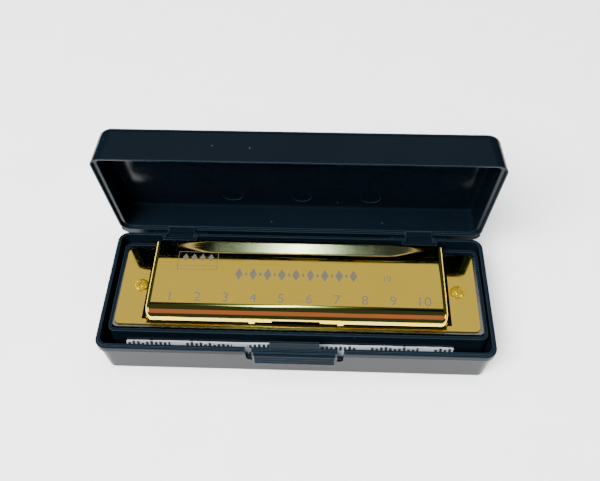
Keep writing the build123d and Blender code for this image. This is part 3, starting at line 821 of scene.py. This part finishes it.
def make_slip():
    """A folded leaflet, slightly wavy, leaning from the floor against the cradle."""
    tall = SLIP_HIGH.z - SLIP_LOW.z - 2 * LEAF_GAP
    long = SLIP_HIGH.x - SLIP_LOW.x
    lean = SLIP_HIGH.y - SLIP_LOW.y - LEAN_SPARE
    leaves = []
    for step in range(2):
        deselect()
        middle = ((SLIP_LOW.x + SLIP_HIGH.x) / 2, SLIP_LOW.y + LEAF_FRONT + LEAF_STEP * step,
                  SLIP_LOW.z + LEAF_GAP + tall / 2)
        bpy.ops.mesh.primitive_grid_add(x_subdivisions=48, y_subdivisions=8, size=1)
        leaf = bpy.context.object
        leaf.scale = (long, tall - LEAF_SHORTER * step, 1)
        leaf.rotation_euler = (math.radians(90), 0, 0)
        leaf.location = middle
        bpy.ops.object.transform_apply(location=True, rotation=True, scale=True)
        for share in LEAN_STEPS:
            pick(leaf, "VERT", lambda co: co.z > SLIP_LOW.z + LEAN_START + tall * (share - 0.2))
            bpy.ops.transform.translate(value=(0, lean / len(LEAN_STEPS), 0))
        for start in WAVES:
            pick(leaf, "VERT", lambda co: start < co.x < start + WAVE_WIDTH)
            bpy.ops.transform.translate(value=(0, WAVE_DEPTH, 0))
        bpy.ops.object.mode_set(mode="OBJECT")
        made = leaf.modifiers.new("ease", "SMOOTH")
        made.iterations = 6
        bpy.ops.object.modifier_apply(modifier=made.name)
        thicken(leaf, LEAF_SHEET)
        leaves.append(leaf)
    slip = join("slip_leaflet", leaves)
    smooth(slip, 40)
    return finish_piece(slip, PAPER, "slip", "slip_paper", "paper_slip")


make_slip()


# ------------------------------------------------------------------ camera, floor, light
CAMERA_PLACE = (6.73, -120.09, 190.92)
CAMERA_TURN, CAMERA_DIP, CAMERA_ROLL = 2.69, 52.05, -0.89       # degrees


def make_camera():
    """The camera, in front of the case and looking down into it."""
    cam = bpy.data.cameras.new("camera")
    cam.lens = 45.0
    cam.sensor_width = 36.0
    cam.clip_start = 0.01
    obj = bpy.data.objects.new("camera", cam)
    bpy.context.scene.collection.objects.link(obj)
    turn = (Matrix.Rotation(math.radians(CAMERA_TURN), 4, "Z")
            @ Matrix.Rotation(math.radians(90 - CAMERA_DIP), 4, "X")
            @ Matrix.Rotation(math.radians(CAMERA_ROLL), 4, "Z"))
    obj.matrix_world = Matrix.Translation(Vector(CAMERA_PLACE) * MM) @ turn
    bpy.context.scene.camera = obj


def make_floor():
    """A wide pale board under the case."""
    deselect()
    bpy.ops.mesh.primitive_plane_add(size=5.0)
    floor = bpy.context.object
    floor.name = "floor"
    made, tree, shader = blank_material("floor_board", Roughness=0.55)
    place = add(tree, "TexCoord").outputs["Object"]
    grain = noise(tree, place, 60, 5, 0.6)
    board = two_colours(tree, grain, (0.78, 0.775, 0.765), (0.86, 0.86, 0.855))
    wire(tree, board, shader.inputs["Base Color"])
    floor.data.materials.append(made)


def aim(obj, place):
    """Puts a lamp or a card at its place, facing the case."""
    obj.location = place
    obj.rotation_euler = (Vector() - Vector(place)).to_track_quat("-Z", "Y").to_euler()


def lamp(name, place, size, power):
    """A soft light that doesn't show in the polished metal."""
    data = bpy.data.lights.new(name, "AREA")
    data.shape = "RECTANGLE"
    data.size, data.size_y = size
    data.energy = power
    obj = bpy.data.objects.new(name, data)
    bpy.context.scene.collection.objects.link(obj)
    obj.visible_glossy = False
    aim(obj, place)


def card(name, angle, distance, size, strength, colour, across=0.0, fade=None):
    """A glowing card over the object, seen only in polished surfaces.
    angle is measured from the rear horizon over the top, and fade dims the card towards its ends."""
    deselect()
    bpy.ops.mesh.primitive_plane_add(size=1)
    obj = bpy.context.object
    obj.name = name
    obj.scale = (size[0], size[1], 1)
    turn = math.radians(angle)
    aim(obj, (across, distance * math.cos(turn), distance * math.sin(turn)))
    made = bpy.data.materials.new(name)
    made.use_nodes = True
    tree = made.node_tree
    tree.nodes.clear()
    glowing = add(tree, "Emission")
    glowing.inputs["Color"].default_value = (*colour, 1)
    glowing.inputs["Strength"].default_value = strength
    if fade:
        split = add(tree, "SeparateXYZ")
        wire(tree, add(tree, "TexCoord").outputs["Object"], split.inputs[0])
        far = math_node(tree, "POWER", math_node(tree, "MULTIPLY", split.outputs["X"], fade), 2)
        fall = math_node(tree, "POWER", math_node(tree, "ADD", far, 1), -2)
        wire(tree, math_node(tree, "MULTIPLY", fall, strength), glowing.inputs["Strength"])
    end = add(tree, "OutputMaterial")
    wire(tree, glowing.outputs[0], end.inputs[0])
    obj.data.materials.append(made)
    obj.visible_diffuse = False
    obj.visible_camera = False


def make_light():
    """A dim bluish room with two soft lamps, and the bright cards that the gold mirrors."""
    world = bpy.data.worlds.new("room")
    bpy.context.scene.world = world
    world.use_nodes = True
    sky = world.node_tree.nodes["Background"]
    sky.inputs["Color"].default_value = (0.36, 0.60, 1.0, 1)
    sky.inputs["Strength"].default_value = 0.10
    lamp("key", (-0.55, -0.75, 1.2), (1.0, 0.8), 122)
    lamp("top", (0.1, 0.25, 1.5), (1.6, 1.2), 48)
    card("rear_card", 71, 1.5, (1.02, 0.85), 0.66, (1.0, 0.97, 0.86), across=-0.04)
    card("strip_lamp", 101, 1.5, (1.6, 0.40), 22, (0.36, 0.62, 1.0), across=-0.088, fade=31)
    card("warm_card", 149, 1.2, (2.4, 0.42), 0.52, (0.88, 0.36, 0.75))
    card("back_card", 14, 1.5, (3.0, 0.5), 0.45, (0.8, 0.9, 1.0))
    for side in (-1, 1):
        card("side_card", 148, 1.0, (0.55, 0.55), 4, (1.0, 0.93, 0.70), across=1.2 * side)


make_camera()
make_floor()
make_light()
